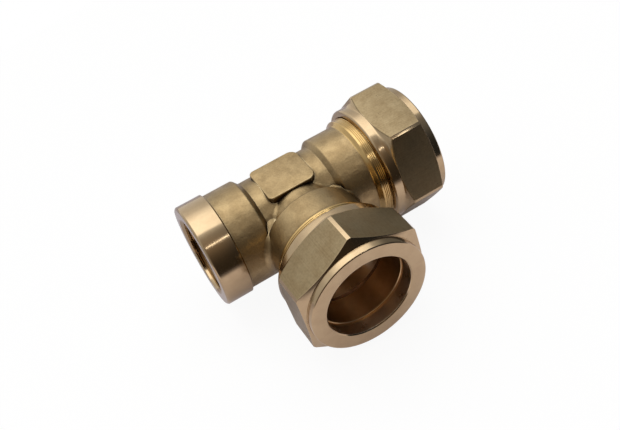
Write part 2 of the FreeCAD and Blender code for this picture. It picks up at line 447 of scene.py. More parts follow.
def mark_tool_lines(piece: bpy.types.Object, axis: Port | None, turn: float) -> None:
    """Store where tools have passed, as attributes of each point.

    "lathe" is the distance along the port's axis plus the distance from it, in
    metres. It grows along a cylinder, a face and a cone alike, so turning lines
    are lines of one value. "drawn" is the distance across a hexagon's flat from
    its middle, plus a step for each flat, so the lines of a drawn bar are lines
    of one value. "tool_path" is the unit vector round the axis.

    Args:
        piece: The finished piece.
        axis: The port it was turned about, or none where that goes by place.
        turn: Degrees from straight up to a flat's middle.
    """
    attributes = piece.data.attributes
    x, y, z = read_triples(piece.data.vertices, "co").T
    about_y = -y > np.abs(x) if axis is None else np.full(len(x), axis is Port.BRANCH)
    along, across = np.where(about_y, -y, x), np.where(about_y, -x, -y)
    radius = np.hypot(across, z)
    cosine, sine = z / np.maximum(radius, NO_RADIUS), across / np.maximum(radius, NO_RADIUS)
    zero = np.zeros_like(z)
    path = np.where(about_y, np.stack([-cosine, zero, -sine]), np.stack([zero, -cosine, -sine]))
    sixths = (np.arctan2(across, z) - math.radians(turn)) * 6 / FULL_TURN + 0.5
    flat = np.floor(sixths)
    drawn = radius * np.sin((sixths - flat - 0.5) * SIXTH) + flat * FLAT_STEP
    for lines, values in ((ToolPath.ROUND, np.abs(along) + radius), (ToolPath.ALONG, drawn)):
        attributes.new(lines.value, "FLOAT", "POINT").data.foreach_set(
            "value", values.astype(np.float32))
    attributes.new("tool_path", "FLOAT_VECTOR", "POINT").data.foreach_set(
        "vector", path.T.astype(np.float32).ravel())


# ---------------------------------------------------------------- sub-assemblies

@dataclass
class Piece:
    """A piece that rides on one body and takes the place of one CAD node."""

    body: str
    node: str
    slot: str
    port: Port | None = None        # the port it was turned about, or none for the tee
    turn: float = 0.0               # degrees from straight up to a flat's middle

    def __post_init__(self) -> None:
        """Take the piece's two ends along its axis from the CAD frame."""
        low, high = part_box(self.node)
        ends = (-high.y, -low.y) if self.port is Port.BRANCH else (low.x, high.x)
        self.rear, self.front = ends[0] / MM, ends[1] / MM

    def shape(self) -> bpy.types.Object:
        """Make the mesh object; each kind of piece has its own way."""
        raise NotImplementedError

    def build(self, finishes: "Finishes") -> bpy.types.Object:
        """Make the piece, dress it, and put it in its node's place.

        Args:
            finishes: The materials.

        Returns:
            The finished object.
        """
        piece = self.shape()
        mark_tool_lines(piece, self.port, self.turn)
        piece.data.shade_smooth()
        piece.data.set_sharp_from_angle(angle=SHARP_ANGLE)
        for material in finishes.made:
            piece.data.materials.append(material)
        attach(piece, self.body)
        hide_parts(self.node)
        return piece


@dataclass(frozen=True)
class Web:
    """Rounded fill of the corner where two round bars meet, in millimetres."""

    run_radius: float
    branch_radius: float
    top: float                      # height above the axes at which it ends
    rounding: float                 # of its hollow, at half height more than at the end
    end_rounding: float
    drop: float                     # how far it is rounded over inwards at its end
    drop_start: float = 5.7


@dataclass
class TeeBody(Piece):
    """The forged body with its three machined ends, sizes in millimetres."""

    columns: int = 192
    bore_columns: int = 160
    run_neck_radius: float = 11.4
    branch_neck_radius: float = 10.9
    neck_end: float = 9.7
    neck_length: float = 2.0        # plain stretch before the neck's end
    barrel_start: float = 10.9
    barrel_end: float = 18.3
    barrel_radius: float = 12.9
    shoulder_rounding: float = 0.7
    foot_rounding: float = 0.35
    thread_start: float = 19.2
    thread_radius: float = 14.0
    thread_root: float = 13.1
    thread_chamfer: float = 0.9
    thread_foot: float = 0.9        # hollow between the barrel and the thread
    thread_shoulder: float = 0.3
    run_out: tuple[float, float, int] = (0.55, 0.45, 4)     # start, spacing and count of lines
    run_out_depth: float = 0.09
    thread_relief: tuple[float, float] = (2.2, 0.8)     # stretch without thread, then fade
    port_barrel_end: float = 18.9
    collar_start: float = 19.25
    collar_radius: float = 13.55
    collar_chamfer: float = 0.45
    collar_rounding: float = 0.35
    collar_foot_rounding: float = 0.12
    waterway_radius: float = 9.0
    pipe_stop: float = 12.5
    socket_radius: float = 11.1
    seat_mouth_radius: float = 12.7
    port_thread_foot: float = 11.8
    port_thread_step: float = 0.2   # from the waterway up to the thread
    port_mouth_radius: float = 10.55
    mouth_fade: float = 1.5         # over which the thread's first turn runs out
    foot_fade: float = 2.0          # turns over which it runs in at its foot
    pad_half: tuple[float, float, float] = (6.6, 6.0, 11.5)
    pad_corners: tuple[float, float] = (1.3, 2.3)       # at -X and at +X
    pad_edge: float = 0.3
    pad_columns: int = 48
    pad_edge_rows: int = 6
    webs: tuple[Web, ...] = (Web(12.9, 12.9, 8.0, 1.6, 0.3, 1.9),
                             Web(11.4, 10.9, 9.6, 1.7, 0.3, 0.0))
    web_rows: int = 41
    web_columns: int = 13
    web_overlap: float = 1.0
    web_bite: float = 0.02          # how far its hollow starts inside both bars
    overrun: float = 0.6            # how far cuts run past a face
    finish_margin: float = 0.05     # how far off a surface a face still has its finish
    finish_lead: float = 0.5        # how far before the port's thread its finish starts

    def __post_init__(self) -> None:
        """Name the two ends of the run after their ports."""
        super().__post_init__()
        self.run_end, self.port_end = self.front, -self.rear

    def outside(self, name: str, port: Port, neck_radius: float,
                lead: list[Corner]) -> bpy.types.Object:
        """Outside of the run or of the branch, up to the pole of its end.

        Args:
            name: The object's name.
            port: The compression end that it leads to.
            neck_radius: Radius of the neck from which that end rises.
            lead: The outline's corners before that neck.

        Returns:
            A closed object.
        """
        first, spacing, count = self.run_out
        # Each line is a V-shaped groove half as wide as the spacing.
        run_out = [Corner(self.thread_start + first + spacing * (index + step / 4),
                          self.thread_radius - depth)
                   for index in range(count)
                   for step, depth in enumerate((0.0, self.run_out_depth, 0.0))]
        thread_start = self.thread_start + self.thread_relief[0]
        angles = round_angles(self.columns)
        thread = Thread(PITCH_M28, self.thread_radius, self.thread_root, outer_flat=0.19,
                        inner_flat=0.27, origin=self.thread_start)
        chamfer = Cone(np.minimum, self.run_end - self.thread_chamfer, self.thread_radius, -1.0)
        outline = rounded([
            *lead,
            Corner(self.neck_end - self.neck_length, neck_radius),
            Corner(self.neck_end, neck_radius, self.foot_rounding),
            Corner(self.barrel_start, self.barrel_radius, self.shoulder_rounding),
            Corner(self.barrel_end, self.barrel_radius, self.thread_foot),
            Corner(self.thread_start, self.thread_radius, self.thread_shoulder),
            *run_out,
            Corner(thread_start, self.thread_radius)])
        screw = thread.rows(thread_start, self.run_end, angles, self.thread_radius,
                            (self.thread_relief[1], 0.0), chamfer)
        return turned_piece(name, [*outline, *screw, Corner(self.run_end, 0.0)], angles, port)

    def run_outside(self) -> bpy.types.Object:
        """Outside of the run, from the threaded port to the compression end.

        Returns:
            The run as a closed object, to which the rest is joined.
        """
        collar, foot = self.collar_rounding, self.collar_foot_rounding
        return self.outside(self.node + "_skin", Port.RUN, self.run_neck_radius, [
            Corner(-self.port_end, 0.0),
            Corner(-self.port_end, self.collar_radius - self.collar_chamfer, collar),
            Corner(-self.port_end + self.collar_chamfer, self.collar_radius, collar),
            Corner(-self.collar_start, self.collar_radius, foot),
            Corner(-self.port_barrel_end, self.barrel_radius, foot),
            Corner(-self.barrel_start, self.barrel_radius, self.shoulder_rounding),
            Corner(-self.neck_end, self.run_neck_radius, self.foot_rounding),
            Corner(-self.neck_end + self.neck_length, self.run_neck_radius)])

    def branch_outside(self) -> bpy.types.Object:
        """Outside of the branch, from the middle of the run to its end."""
        return self.outside("branch_outside", Port.BRANCH, self.branch_neck_radius,
                            [Corner(0.0, 0.0), Corner(0.0, self.branch_neck_radius)])

    def compression_inside(self, port: Port) -> bpy.types.Object:
        """Waterway, pipe socket and mouth cone of a compression end.

        Args:
            port: The port that it opens.

        Returns:
            What is cut away, as a closed object.
        """
        seat_foot = self.run_end - (self.seat_mouth_radius - self.socket_radius) / SEAT_SLOPE
        end = self.run_end + self.overrun
        rows = [
            Corner(0.0, 0.0),
            Corner(0.0, self.waterway_radius),
            Corner(self.pipe_stop, self.waterway_radius),
            Corner(self.pipe_stop, self.socket_radius),
            Corner(seat_foot, self.socket_radius),
            Corner(end, self.seat_mouth_radius + self.overrun * SEAT_SLOPE),
            Corner(end, 0.0)]
        return turned_piece("compression_inside", rows, round_angles(self.bore_columns), port)

    def port_inside(self) -> bpy.types.Object:
        """Waterway, thread and countersink of the threaded port.

        Returns:
            What is cut away, as a closed object.
        """
        angles, end = round_angles(self.bore_columns), self.port_end + self.overrun
        thread = Thread(PITCH_G12, outer=10.48, inner=9.32, outer_flat=0.3, inner_flat=0.3,
                        origin=self.port_end)
        rows = [
            Corner(0.0, 0.0),
            Corner(0.0, self.waterway_radius),
            Corner(self.port_thread_foot - self.port_thread_step, self.waterway_radius),
            Corner(self.port_thread_foot, thread.inner),
            *thread.rows(self.port_thread_foot, end, angles, thread.inner,
                         (self.foot_fade * PITCH_G12, self.overrun + self.mouth_fade),
                         Cone(np.maximum, self.port_end, self.port_mouth_radius, 1.0)),
            Corner(end, 0.0)]
        return turned_piece("port_inside", rows, angles, Port.THREADED)

    def pads(self) -> bpy.types.Object:
        """Block whose top and bottom take a spanner.

        Each row is a rounded rectangle: at an angle, the corner circle's
        centre plus its radius along that angle. The rows round the block's
        rim, where the rectangle shrinks by the edge's rounding less its
        cosine, and the height grows by its sine.

        Returns:
            The block as a closed object.
        """
        half_x, half_y, half_z = self.pad_half
        angles = round_angles(self.pad_columns)
        side_x, side_y = np.sign(np.cos(angles + NUDGE)), np.sign(np.sin(angles + NUDGE))
        quarter = np.linspace(0.0, QUARTER, self.pad_edge_rows)
        inset = self.pad_edge * (1 - np.cos(quarter))
        rise = half_z - self.pad_edge * (1 - np.sin(quarter))
        inset = np.concatenate([inset[::-1], inset])[:, None]
        height = np.concatenate([-rise[::-1], rise])[:, None]
        corner = np.where(side_x < 0.0, *self.pad_corners)
        sides = np.stack(np.broadcast_arrays(
            side_x * (half_x - corner) + (corner - inset) * np.cos(angles),
            side_y * (half_y - corner) + (corner - inset) * np.sin(angles), height), axis=-1)
        poles = np.zeros((2, len(angles), 3))
        poles[:, :, 2] = [[-half_z], [half_z]]
        return make_object("pads", np.concatenate([poles[:1], sides, poles[1:]]))

    def corner_web(self, web: Web, side: float) -> bpy.types.Object:
        """Rounded web where a bar of the run meets one of the branch.

        At a height, each bar reaches as far as the square root of its radius
        squared less the height squared. The web is hollowed by a quarter
        circle that touches both, whose radius is largest halfway up and falls
        to its end value as the root of one less the share squared. Above the
        drop's start it leans inwards along a quarter ellipse.

        Args:
            web: The web's sizes.
            side: 1 for the corner at +X, or -1 for the one at -X.

        Returns:
            The web as a closed object.
        """
        share = np.sin(np.linspace(-QUARTER, QUARTER, self.web_rows))[:, None]
        height = web.top * share
        rounding = web.end_rounding + web.rounding * np.sqrt(1 - share ** 2)
        past = np.clip((np.abs(height) - web.drop_start) / (web.top - web.drop_start), 0.0, 1.0)
        drop = web.drop * (1 - np.sqrt(1 - past ** 2))
        across = np.sqrt(web.branch_radius ** 2 - height ** 2) - drop
        along = np.sqrt(web.run_radius ** 2 - height ** 2) - drop
        sweep = np.linspace(QUARTER, math.pi, self.web_columns)[None, :]
        hollow = rounding + self.web_bite
        outer_x, outer_y = across + rounding, along + rounding
        inner_x, inner_y = across - self.web_overlap, along - self.web_overlap
        x = np.concatenate([outer_x, outer_x + hollow * np.cos(sweep), inner_x, inner_x, outer_x],
                           axis=1)
        y = np.concatenate([-inner_y, -outer_y + hollow * np.sin(sweep), -outer_y, -inner_y,
                            -inner_y], axis=1)
        sides = np.stack([x * side, y, np.broadcast_to(height, x.shape)], axis=-1)
        poles = np.broadcast_to(sides.mean(axis=1, keepdims=True), sides.shape)
        return make_object("corner_web", np.concatenate([poles[:1], sides, poles[-1:]]))

    def shape(self) -> bpy.types.Object:
        """Join the outside and cut the inside.

        Returns:
            The body, with a slot for each face.
        """
        skin = self.run_outside()
        webs = [self.corner_web(web, side) for web in self.webs for side in (1.0, -1.0)]
        for tool in (self.branch_outside(), *webs, self.pads()):
            boolean(skin, tool, Join.ADD)
        for tool in (self.compression_inside(Port.RUN), self.compression_inside(Port.BRANCH),
                     self.port_inside()):
            boolean(skin, tool, Join.CUT)
        self.assign_finishes(skin)
        return skin

    def assign_finishes(self, skin: bpy.types.Object) -> None:
        """Give each face its slot by where its middle lies.

        Past a barrel's end it is turned or thread. Inside, it is bored in the
        waterway and the pipe sockets, seat in the cones at their mouths, and
        thread in the threaded port. The rest is as forged.

        Args:
            skin: The body, joined and cut.
        """
        x, y, z = read_triples(skin.data.polygons, "center").T / MM
        from_run, from_branch = np.hypot(y, z), np.hypot(x, z)
        waterway = self.waterway_radius + self.finish_margin
        areas = [
            (x < -self.port_barrel_end, Finish.TURNED),
            ((x > self.barrel_end) | (y < -self.barrel_end), Finish.THREAD),
            ((from_run < waterway) | (from_branch < waterway) & (y < 0.0), Finish.BORE),
            ((x < self.finish_lead - self.port_thread_foot) & (x > -self.port_barrel_end)
             & (from_run < self.port_mouth_radius), Finish.THREAD)]
        for radius, along in ((from_run, x), (from_branch, -y)):
            areas += [
                ((radius < self.seat_mouth_radius) & (along > self.barrel_end), Finish.SEAT),
                ((radius < self.socket_radius + self.finish_margin)
                 & (along > self.pipe_stop - self.finish_margin), Finish.BORE)]
        slots = np.full(len(x), Finish.FORGED.value, np.int32)
        for area, finish in areas:
            slots[area] = finish.value
        skin.data.polygons.foreach_set("material_index", slots)


@dataclass
class Nut(Piece):
    """A compression nut, sizes in millimetres."""

    flat_radius: float = 15.75
    corner_radius: float = 17.92
    shoulder_length: float = 2.6
    shoulder_radius: float = 15.7
    shoulder_rounding: float = 1.1
    hex_fillet: float = 1.7         # where the shoulder runs into the hexagon's chamfer
    rear_chamfer: float = 1.25
    rear_crease: float = 0.6        # rounding where that chamfer meets flats and corners
    front_chamfer: float = 1.0
    front_crease: float = 0.12
    chamfer_foot: float = 15.45
    foot_rounding: float = 0.05
    ring_length: float = 1.95
    ring_radius: float = 15.2
    ring_rounding: float = 0.35
    small_rounding: float = 0.08    # at the ring's foot and the hole's mouth
    hole_radius: float = 11.15
    mouth_chamfer: float = 0.3
    land_length: float = 3.5
    chamber_radius: float = 12.75
    chamber_length: float = 0.25
    bore_radius: float = 14.05
    ridge_radius: float = 13.25
    thread_fade: float = 1.0
    thread_mouth: float = 0.15
    thread_origin: float = 19.2
    edge_rounding: float = 0.05     # taken off the edges between flats and corners
    edge_angle: float = 0.007       # radians either side that this reaches
    flat_columns: int = 25
    edge_columns: int = 5           # over an edge, with those at its ends
    corner_columns: int = 3

    def half_flat(self) -> float:
        """Half the angle that a flat spans between two turned corners."""
        return math.acos(self.flat_radius / self.corner_radius)

    def angles(self) -> np.ndarray:
        """Columns over every flat and turned corner, closer at their edges.

        Returns:
            The angles from straight up, with the first one again at the end.
        """
        half, reach = self.half_flat(), self.edge_angle
        flat = np.linspace(reach - half, half - reach, self.flat_columns)
        edge = np.linspace(-reach, reach, self.edge_columns)[1:-1]
        corner = np.linspace(half + reach, SIXTH - half - reach, self.corner_columns)
        side = np.concatenate([flat, half + edge, corner, SIXTH - half + edge])
        starts = math.radians(self.turn) + np.arange(6) * SIXTH
        return np.append((starts[:, None] + side).ravel(), starts[0] + side[0] + FULL_TURN)

    def from_middle(self, angles: np.ndarray) -> np.ndarray:
        """Angle of each column from the middle of its flat."""
        return (angles - math.radians(self.turn) + SIXTH / 2) % SIXTH - SIXTH / 2

    def outline(self, angles: np.ndarray) -> np.ndarray:
        """Radius of the hexagon with its corners turned off and edges eased.

        A flat lies at its distance over the cosine of the angle from its middle.
        The radius is the lesser of that and the corners', less a quarter of the
        rounding times the square of how near the two are within it.

        Args:
            angles: The columns' angles.

        Returns:
            One radius for each column.
        """
        flat = self.flat_radius / np.cos(self.from_middle(angles))
        near = np.clip(1.0 - np.abs(flat - self.corner_radius) / self.edge_rounding, 0.0, 1.0)
        return np.minimum(flat, self.corner_radius) - self.edge_rounding / 4 * near ** 2

    def rows(self, angles: np.ndarray) -> list[Corner]:
        """All rows of the nut, over the outside and back through the bore.

        Each chamfer is a cone, so its crease with the hexagon lies further
        along the axis by the outline's height over its foot times its slope.
        The thread's ridges lie in the grooves of the body.

        Args:
            angles: The columns' angles.

        Returns:
            The rows, from the rear and back to it.
        """
        outline = self.outline(angles)
        hex_start = self.rear + self.shoulder_length
        ring_start = self.front - self.ring_length
        rear_slope = self.rear_chamfer / (self.corner_radius - self.shoulder_radius)
        front_slope = self.front_chamfer / (self.corner_radius - self.chamfer_foot)
        seat_foot = self.front - self.land_length
        seat_start = seat_foot - (self.chamber_radius - self.hole_radius) / SEAT_SLOPE
        chamber_start = seat_start - self.chamber_length
        bore_end = chamber_start - (self.bore_radius - self.chamber_radius)
        mouth = self.bore_radius + self.thread_mouth
        small = self.small_rounding
        thread = Thread(PITCH_M28, self.bore_radius, self.ridge_radius, outer_flat=0.257,
                        inner_flat=0.32, origin=self.thread_origin, finish=Finish.BORE)
        plain = rounded([
            Corner(self.rear, mouth),
            Corner(self.rear, self.shoulder_radius, self.shoulder_rounding),
            Corner(hex_start, self.shoulder_radius, self.hex_fillet),
            Corner(hex_start + (outline - self.shoulder_radius) * rear_slope, outline,
                   self.rear_crease, Finish.FLAT),
            Corner(ring_start - (outline - self.chamfer_foot) * front_slope, outline,
                   self.front_crease),
            Corner(ring_start, self.chamfer_foot, self.foot_rounding),
            Corner(ring_start, self.ring_radius, small),
            Corner(self.front, self.ring_radius, self.ring_rounding),
            Corner(self.front, self.hole_radius + self.mouth_chamfer, small),
            Corner(self.front - self.mouth_chamfer, self.hole_radius, small, Finish.BORE),
            Corner(seat_foot, self.hole_radius, 0.0, Finish.BORE),
            Corner(seat_start, self.chamber_radius, 0.0, Finish.BORE),
            Corner(chamber_start, self.chamber_radius, 0.0, Finish.BORE),
            Corner(bore_end, self.bore_radius, 0.0, Finish.BORE)])
        screw = thread.rows(bore_end, self.rear, angles, self.bore_radius, (self.thread_fade, 0.0),
                            Cone(np.maximum, self.rear, mouth, -1.0))
        return [*plain, *screw, Corner(self.rear, mouth)]

    def shape(self) -> bpy.types.Object:
        """Make the nut, whose hexagon is flat but for its turned corners.

        Returns:
            The nut, with a slot for each face.
        """
        angles = self.angles()
        middles = (angles[:-1] + angles[1:]) / 2
        return turned_piece(self.node + "_dressed", self.rows(angles), angles, self.port,
                            np.abs(self.from_middle(middles)) > self.half_flat())


@dataclass
class Olive(Piece):
    """The ring that a nut squeezes onto the pipe, sizes in millimetres."""

    columns: int = 160
    bore_radius: float = 11.03
    end_radius: float = 11.5
    crown_radius: float = 12.55
    crown_rounding: float = 0.35
    edge_chamfer: float = 0.15

    def shape(self) -> bpy.types.Object:
        """Make the ring, which tapers from its crown to both ends.

        Returns:
            The ring, with one slot for all its faces.
        """
        taper = (self.crown_radius - self.end_radius) / SEAT_SLOPE
        mouth = self.bore_radius + self.edge_chamfer
        outline = (
            (self.rear + self.edge_chamfer, self.bore_radius, 0.0),
            (self.rear, mouth, 0.0),
            (self.rear, self.end_radius, 0.0),
            (self.rear + taper, self.crown_radius, self.crown_rounding),
            (self.front - taper, self.crown_radius, self.crown_rounding),
            (self.front, self.end_radius, 0.0),
            (self.front, mouth, 0.0),
            (self.front - self.edge_chamfer, self.bore_radius, 0.0),
            (self.rear + self.edge_chamfer, self.bore_radius, 0.0))
        rows = rounded([Corner(*corner, Finish.OLIVE) for corner in outline])
        return turned_piece(self.node + "_dressed", rows, round_angles(self.columns), self.port)


# ---------------------------------------------------------------- finishes

def linear(hex_colour: str) -> tuple[float, float, float, float]:
    """Linear colour of an sRGB hex value.

    A channel is divided by 12.92 when it is at most 0.04045. Otherwise 0.055
    is added, the sum divided by 1.055, and the result raised to 2.4.

    Args:
        hex_colour: Six hex digits after a hash.

    Returns:
        Red, green, blue and an alpha of one.
    """
    channels = np.array([int(hex_colour[i:i + 2], 16) for i in (1, 3, 5)]) / 255.0
    red, green, blue = np.where(channels <= 0.04045, channels / 12.92,
                                ((channels + 0.055) / 1.055) ** 2.4)
    return float(red), float(green), float(blue), 1.0


def empty_tree(owner: bpy.types.Material | bpy.types.World) -> bpy.types.NodeTree:
    """Give a material or a world a node tree without nodes.

    Args:
        owner: The material or world.

    Returns:
        Its tree.
    """
    owner.use_nodes = True
    owner.node_tree.nodes.clear()
    return owner.node_tree


def add(tree: bpy.types.NodeTree, kind: str, inputs: dict | None = None,
        **settings: object) -> bpy.types.Node:
    """Add a node with its settings and links.

    Args:
        tree: The node tree that gets the node.
        kind: The node's type without its "ShaderNode".
        inputs: For each input's name or number a value, an output, or a node,
            which stands for its first output in use.
        **settings: The node's own properties.

    Returns:
        The new node.
    """
    node = tree.nodes.new("ShaderNode" + kind)
    for name, value in settings.items():
        setattr(node, name, value)
    for name, value in (inputs or {}).items():
        if isinstance(value, bpy.types.Node):
            value = next(output for output in value.outputs if output.enabled)
        if isinstance(value, bpy.types.NodeSocket):
            tree.links.new(value, node.inputs[name])
        else:
            node.inputs[name].default_value = value
    return node


@dataclass(frozen=True)
class Brass:
    """A brass surface: tone patches, a grain or tool lines, and worn edges with a painted
    highlight.
    """

    name: str
    dull: str                       # sRGB of the duller patches
    clean: str                      # sRGB of the cleaner patches
    patch: float                    # size of a patch, mm
    roughness: tuple[float, float]  # in the clean and in the dull patches
    swell: float = 0.0              # size of the die's shallow hollows, mm
    swell_depth: float = 0.0        # mm
    grain: float = 0.0              # size of the blasted grain, mm
    grain_depth: float = 0.0        # mm
    path: ToolPath = ToolPath.ROUND
    line: float = 0.0               # spacing of the tool lines, mm
    line_depth: float = 0.0         # mm
    stretch: float = 0.0            # how far the lines spread a highlight across them
    shade: float = 0.0              # share of light that the relief's low places lose
    shaded: tuple[float, float] = (0.3, 0.6)    # heights at which all of it is lost, and none
    rub_and_highlight: str = ""                # sRGB of edges painted bright: rubbed by handling, and a painted highlight
    edge_reach: float = 0.4                # how far the bright edge reaches, mm
    edge_turns: tuple[float, float] = (0.995, 0.94)   # cosine of the turn that starts it, and is full
    film_and_shade: str = ""               # sRGB of film in specks, and of film and painted shade in creases
    crease_shade_reach: float = 0.0             # how far a crease keeps its film and painted shade, mm
    clear: tuple[float, float] = (0.4, 0.92)    # openness from which that film and painted shade thin, and are gone
    specks: float = 0.0             # spacing of the specks, mm
    speck: tuple[float, float] = (0.03, 0.07)   # shares of it at which one thins, and ends

    def make(self) -> bpy.types.Material:
        """Build the node tree of this finish.

        The lines of a lathe run round the axis, so they spread light a quarter
        turn from the way that the lines of a drawn bar do.

        Returns:
            The material.
        """
        material = bpy.data.materials.new(self.name)
        tree = empty_tree(material)
        place = add(tree, "TexCoord").outputs["Object"]
        patches = add(tree, "TexNoise", {"Vector": place, "Scale": 1.0 / (self.patch * MM),
                                         "Detail": 3.0, "Roughness": 0.6})
        spread = add(tree, "MapRange", {"Value": patches, "From Min": 0.3, "From Max": 0.7})
        clean, dull = self.roughness
        reliefs = self.reliefs(tree, place)
        surface = {"Base Color": self.colour(tree, place, spread, reliefs), "Metallic": 1.0,
                   "Roughness": add(tree, "MapRange", {"Value": spread, "To Min": dull,
                                                       "To Max": clean})}
        if self.stretch:
            path = add(tree, "Attribute", attribute_name="tool_path").outputs["Vector"]
            surface |= {
                "Anisotropic": self.stretch,
                "Anisotropic Rotation": 0.25 if self.path is ToolPath.ROUND else 0.0,
                "Tangent": add(tree, "VectorTransform", {"Vector": path}, vector_type="VECTOR",
                               convert_from="OBJECT", convert_to="WORLD")}
        normal = {}
        for height, depth in reliefs:
            normal["Normal"] = add(tree, "Bump", {"Height": height, "Strength": 1.0,
                                                  "Distance": depth * MM, **normal})
        brass = add(tree, "BsdfPrincipled", surface | normal)
        add(tree, "OutputMaterial", {"Surface": brass}).is_active_output = True
        return material

    def reliefs(self, tree: bpy.types.NodeTree, place: bpy.types.NodeSocket
                ) -> list[tuple[bpy.types.Node, float]]:
        """Heights, from 0 to 1, and depths in millimetres of the surface's relief.

        Args:
            tree: The material's node tree.
            place: Where on the piece a point lies.

        Returns:
            A node and a depth for each layer of the relief.
        """
        found = []
        for size, depth in ((self.swell, self.swell_depth), (self.grain, self.grain_depth)):
            if size:
                found.append((add(tree, "TexNoise", {"Vector": place, "Scale": 1.0 / (size * MM),
                                                     "Detail": 2.0, "Roughness": 0.5}), depth))
        if self.line:
            travel = add(tree, "Attribute", attribute_name=self.path.value).outputs["Fac"]
            count = add(tree, "Math", {0: travel, 1: 1.0 / (self.line * MM)}, operation="MULTIPLY")
            found.append((add(tree, "TexNoise", {"W": count, "Scale": 1.0, "Detail": 2.0,
                                                 "Roughness": 0.7}, noise_dimensions="1D"),
                          self.line_depth))
        return found

    def colour(self, tree: bpy.types.NodeTree, place: bpy.types.NodeSocket,
               spread: bpy.types.Node, reliefs: list[tuple[bpy.types.Node, float]]
               ) -> bpy.types.Node:
        """Tone, darker low places, worn edges with painted highlight, creases with film and painted
        shade.

        Args:
            tree: The material's node tree.
            place: Where on the piece a point lies.
            spread: How clean the surface is there.
            reliefs: The surface's heights and depths.

        Returns:
            The base colour.
        """
        layers = [(spread, linear(self.clean), "MIX")]
        if self.shade:
            low, high = self.shaded
            layers += [(self.shade, add(tree, "MapRange", {
                "Value": height, "From Min": low, "From Max": high}), "MULTIPLY")
                for height, _ in reliefs]
        over = []
        # Edges are painted bright: rubbed by handling, and a painted highlight.
        if self.rub_and_highlight:
            # An edge is where the surface turns away from its own rounded-over normal.
            eased = add(tree, "Bevel", {"Radius": self.edge_reach * MM}, samples=6)
            plain = add(tree, "NewGeometry").outputs["Normal"]
            turn = add(tree, "VectorMath", {0: eased, 1: plain}, operation="DOT_PRODUCT")
            over.append((turn, self.edge_turns, self.rub_and_highlight))
        # Creases are darkened by how closed in they are: partly a brown film, partly painted shade.
        if self.crease_shade_reach:
            hollow = add(tree, "AmbientOcclusion", {"Distance": self.crease_shade_reach * MM},
                         only_local=True, samples=8).outputs["AO"]
            over.append((hollow, self.clear[::-1], self.film_and_shade))
        if self.specks:
            speck = add(tree, "TexVoronoi", {"Vector": place, "Scale": 1.0 / (self.specks * MM)})
            over.append((speck, self.speck[::-1], self.film_and_shade))
        layers += [(add(tree, "MapRange", {"Value": value, "From Min": none, "From Max": full}),
                    linear(tint), "MIX") for value, (none, full), tint in over]
        colour = linear(self.dull)
        for share, tint, blend in layers:
            colour = add(tree, "Mix", {FACTOR: share, UNDER: colour, OVER: tint},
                         data_type="RGBA", blend_type=blend)
        return colour


@dataclass
class Finishes:
    """Every finish of the tee, made once."""

    # Hot-forged brass, shot-blasted: a matt skin of fine dents, its edges worn and
    # painted bright as a highlight, with a brown film and painted shade in its creases.
    # Its grain is about 0.15 mm and is drawn at 0.4 mm so that it shows.
    forged: Brass = Brass(
        "hot_forged_brass_blasted", "#98815C", "#AA936C", 5.0, (0.33, 0.43),
        swell=2.6, swell_depth=0.10, grain=0.4, grain_depth=0.036, shade=0.14,
        rub_and_highlight="#D6C198", film_and_shade="#33261A", crease_shade_reach=2.6, clear=(0.56, 0.92))
    # Turned brass: bright, with lines round the axis where the tool has passed. Its
    # feed is about 0.1 mm and is drawn at 0.3 mm so that the lines show.
    turned: Brass = Brass(
        "turned_brass_bright", "#AC9575", "#B59F7E", 3.0, (0.11, 0.17),
        line=0.3, line_depth=0.003, stretch=0.35)
    # Drawn hexagon bar: satin, as the die has left it, with a browner film and
    # specks of it, and edges worn and painted bright as a highlight. Its lines are
    # about 0.1 mm apart and are drawn at 0.3 mm.
    flat: Brass = Brass(
        "drawn_hexagon_brass_satin", "#887556", "#958465", 4.0, (0.32, 0.40),
        grain=0.5, grain_depth=0.006, path=ToolPath.ALONG, line=0.3, line_depth=0.004,
        stretch=0.3, shade=0.12, rub_and_highlight="#BCA98A", edge_reach=0.3, film_and_shade="#5A4A36", specks=2.2)
    # Bored brass: smoother than the outside; red-brown film and painted shade where it closes in.
    bore: Brass = Brass(
        "bored_brass_oiled", "#DCC4A8", "#E6D0B4", 3.0, (0.26, 0.34),
        line=0.4, line_depth=0.004, stretch=0.3, film_and_shade="#5A3C2C", crease_shade_reach=4.0, clear=(0.4, 0.85))
    # Seat that an olive beds on: turned, and brown with the oil that has gathered there.
    seat: Brass = Brass(
        "turned_seat_brass_oiled", "#5E4230", "#6E4F38", 3.0, (0.38, 0.46),
        line=0.3, line_depth=0.004)
    # Cut thread: turned like the rest, a little yellower from cutting oil.
    thread: Brass = Brass(
        "cut_thread_brass", "#B89A66", "#C6A872", 3.0, (0.14, 0.20),
        line=0.5, line_depth=0.012, stretch=0.3)
    # Olive brass: a softer alloy than the nut's, turned fine and left bright.
    olive: Brass = Brass(
        "soft_olive_brass_turned", "#D2AE80", "#DCBA8C", 2.0, (0.28, 0.36),
        line=0.3, line_depth=0.003, stretch=0.3)

    def __post_init__(self) -> None:
        """Make the materials, in the order of their slots."""
        self.made = [getattr(self, finish.name.lower()).make() for finish in Finish]


# ---------------------------------------------------------------- studio and camera

@dataclass(frozen=True)
class SoftLamp:
    """A rectangular lamp that no camera sees, sizes in metres."""

    name: str
    centre: tuple[float, float, float]
    width: float
    depth: float
    radiance: float
    turn: float                     # degrees about Z

    def build(self) -> None:
        """Make the lamp, whose power is radiance times pi times its area."""
        lamp = bpy.data.lights.new(self.name, "AREA")
        lamp.shape = "RECTANGLE"
        lamp.size, lamp.size_y = self.width, self.depth
        lamp.energy = self.radiance * math.pi * self.width * self.depth
        turn = Matrix.Rotation(math.radians(self.turn), 4, "Z")
        add_object(self.name, lamp, Matrix.Translation(self.centre) @ turn).visible_camera = False


